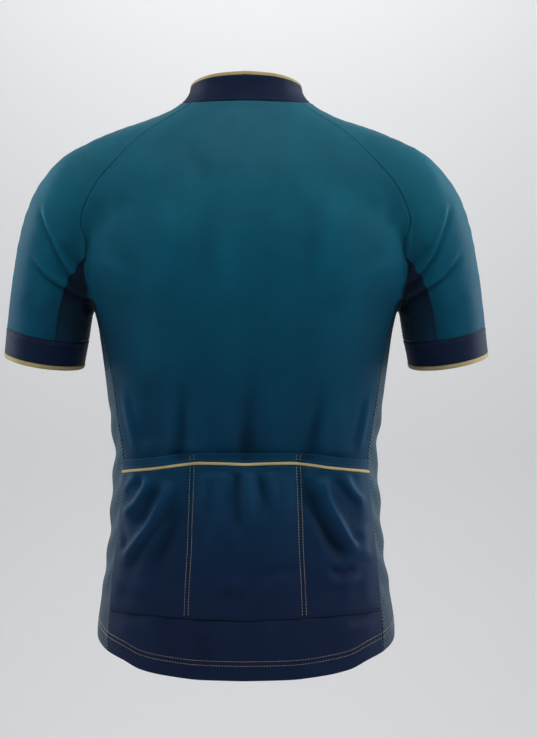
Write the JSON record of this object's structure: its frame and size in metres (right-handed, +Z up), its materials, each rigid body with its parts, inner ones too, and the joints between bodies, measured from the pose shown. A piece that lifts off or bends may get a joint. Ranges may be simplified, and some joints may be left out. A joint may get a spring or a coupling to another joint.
{
  "type": "cycling jersey",
  "caption": "Short-sleeved raglan cycling jersey in its worn, hollow shape, with a stand collar, a full front zip, mesh side panels, a row of back pockets and a dropped back hem.",
  "frame": {"origin": "middle of the neck seam, on the garment's middle plane, level with the seam at the sides of the neck", "axes": "+Z up the garment, +Y out of its back, +X towards the wearer's left"},
  "size_m": [0.569, 0.2385, 0.6937],
  "materials": {
    "teal_cloth": "smooth knit polyester with a soft sheen, teal fading to navy",
    "navy_cloth": "smooth knit polyester, navy",
    "mesh_cloth": "fine ribbed mesh, grey teal",
    "trim_cloth": "close rib knit, dark navy",
    "gold_trim": "matt gold tape",
    "zip_chain": "moulded nylon coil on woven tape",
    "zip_metal": "dark lacquered zinc, worn at the edges"
  },
  "bodies": {
    "garment": {"back": "teal_cloth", "back_hem": "navy_cloth", "pocket_band": "navy_cloth", "pocket_piping": "gold_trim", "pocket_panel": "navy_cloth", "front_left": "teal_cloth", "front_right": "teal_cloth", "side_left": "mesh_cloth", "side_right": "mesh_cloth", "sleeve_left": "teal_cloth", "sleeve_right": "teal_cloth", "sleeve_under_left": "mesh_cloth", "sleeve_under_right": "mesh_cloth", "cuff_left": "trim_cloth", "cuff_right": "trim_cloth", "cuff_edge_left": "gold_trim", "cuff_edge_right": "gold_trim", "collar": "trim_cloth", "collar_edge": "gold_trim", "zip": "zip_chain", "zip_slider": "zip_metal"},
    "pull_tab": {"zip_pull": "zip_metal"}
  },
  "joints": [
    {"name": "pull_tab_swing", "type": "hinge", "parent": "garment", "child": "pull_tab", "pos_m": [0, -0.06527, -0.017], "axis": [-1, 0, 0], "range_deg": [0, 150]}
  ]
}
